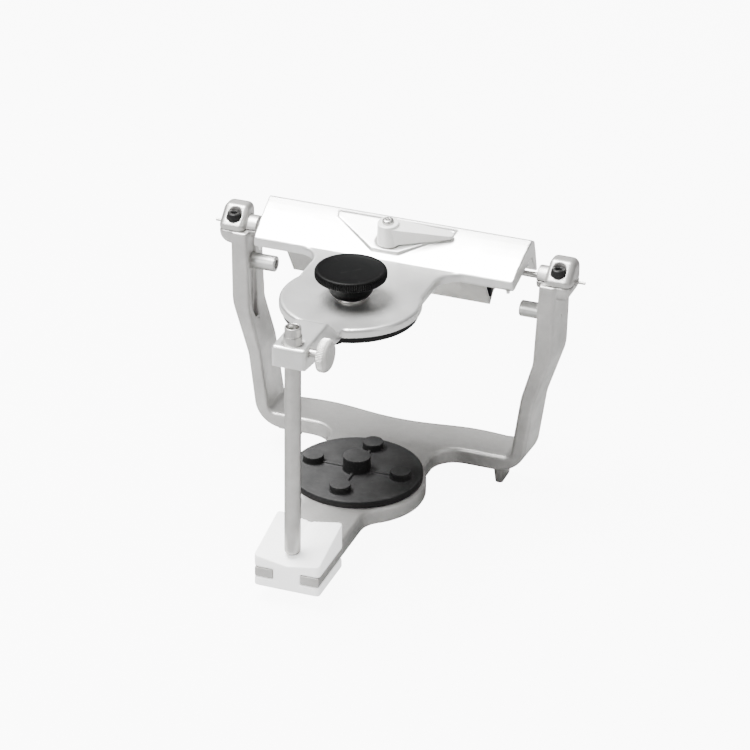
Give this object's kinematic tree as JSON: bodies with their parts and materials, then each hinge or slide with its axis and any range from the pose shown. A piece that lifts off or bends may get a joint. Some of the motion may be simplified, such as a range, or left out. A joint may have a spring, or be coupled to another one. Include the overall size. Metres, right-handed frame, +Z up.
{
  "type": "dental articulator",
  "caption": "Average-value jaw articulator: wide lower frame with end posts, hinged and sliding upper frame, condyle balls, latch lever, incisal pin and sliding table, screw-on plates.",
  "frame": {"origin": "on the floor, under the centre of the bounding box", "axes": "+X to the object's left-hand post seen from its front (the right of the picture), +Y to the back, +Z up; the incisal pin and table are at the -Y end"},
  "size_m": [0.197, 0.1651, 0.147],
  "materials": {
    "cast_frame": "satin cast, fine sand-cast grain, rounded edges",
    "cast_beam": "bright satin, nearly white where it faces the light",
    "channel_metal": "bent satin sheet, dull inside",
    "black_plate": "moulded, matt, slightly lighter ribs",
    "black_knob": "turned plastic, half-gloss, fine straight knurl on the rim",
    "black_screw": "black-oxide steel",
    "white_table": "smooth moulded white plastic",
    "knurled_thumb_screw": "turned, off-white satin, fine straight knurl",
    "lever_metal": "smooth satin casting",
    "black_insert": "moulded low-friction plastic, matt black",
    "sleeve_metal": "turned satin",
    "insert_brass": "turned, dull",
    "bright_steel": "turned and ground, bright"
  },
  "bodies": {
    "lower": {"lower_frame": "cast_frame", "clamp_cap_left": "cast_frame", "clamp_cap_right": "cast_frame", "cap_screws": "black_screw", "cap_dowels": "bright_steel", "condylar_shaft_left": "bright_steel", "condylar_shaft_right": "bright_steel", "stop_sleeve_left": "sleeve_metal", "stop_sleeve_right": "sleeve_metal", "sleeve_screws": "black_screw", "lower_mounting_plate": "black_plate", "lower_plate_insert": "insert_brass", "lower_plate_dowels": "bright_steel", "incisal_table": "white_table"},
    "condyles": {"condyle_ball_left": "bright_steel", "condyle_ball_right": "bright_steel"},
    "upper": {"upper_frame": "cast_beam", "condyle_channel": "channel_metal", "channel_screws": "bright_steel", "fossa_insert_left": "black_insert", "fossa_insert_right": "black_insert", "lever_washer": "bright_steel", "upper_mounting_plate": "black_plate", "upper_plate_insert": "insert_brass", "upper_plate_dowels": "bright_steel", "pin_collar": "bright_steel", "knob_washer": "bright_steel"},
    "lever": {"latch_lever": "lever_metal", "lever_screw": "bright_steel", "latch_spindle": "bright_steel"},
    "latch_bar": {"latch_bar": "bright_steel"},
    "incisal_pin": {"incisal_pin": "bright_steel"},
    "pin_screw": {"pin_screw_head": "knurled_thumb_screw", "pin_screw_shank": "bright_steel"},
    "upper_knob": {"upper_knob": "black_knob", "upper_stud": "bright_steel"},
    "lower_knob": {"lower_knob": "black_knob", "lower_stud": "bright_steel"}
  },
  "joints": [
    {"name": "opening", "type": "hinge", "parent": "lower", "child": "condyles", "pos_m": [0, 0.0691, 0.1207], "axis": [-1, 0, 0], "range_deg": [0, 120]},
    {"name": "protrusion", "type": "slide", "parent": "condyles", "child": "upper", "axis": [0, 0.866, 0.5], "range_m": [0, 0.004]},
    {"name": "latch_turn", "type": "hinge", "parent": "upper", "child": "lever", "pos_m": [0, 0.0551, 0.1361], "axis": [0, -0.1478, 0.989], "range_deg": [-90, 0]},
    {"name": "latch_bar_slide", "type": "slide", "parent": "upper", "child": "latch_bar", "axis": [0, 1, 0], "range_m": [0, 0.00425]},
    {"name": "pin_height", "type": "slide", "parent": "upper", "child": "incisal_pin", "axis": [0, 0, 1], "range_m": [0, 0.015]},
    {"name": "pin_screw_turn", "type": "hinge", "parent": "upper", "child": "pin_screw", "pos_m": [0, -0.0742, 0.1349], "axis": [1, 0, 0], "continuous": true},
    {"name": "upper_knob_turn", "type": "hinge", "parent": "upper", "child": "upper_knob", "pos_m": [0, 0.0023, 0.1264], "axis": [0, 0, 1], "continuous": true},
    {"name": "lower_knob_turn", "type": "hinge", "parent": "lower", "child": "lower_knob", "pos_m": [0, 0.0132, 0.0125], "axis": [0, 0, 1], "continuous": true}
  ],
  "couplings": [
    {"joint": "latch_bar_slide", "follows": "latch_turn", "m_per_rad": -0.002701}
  ]
}
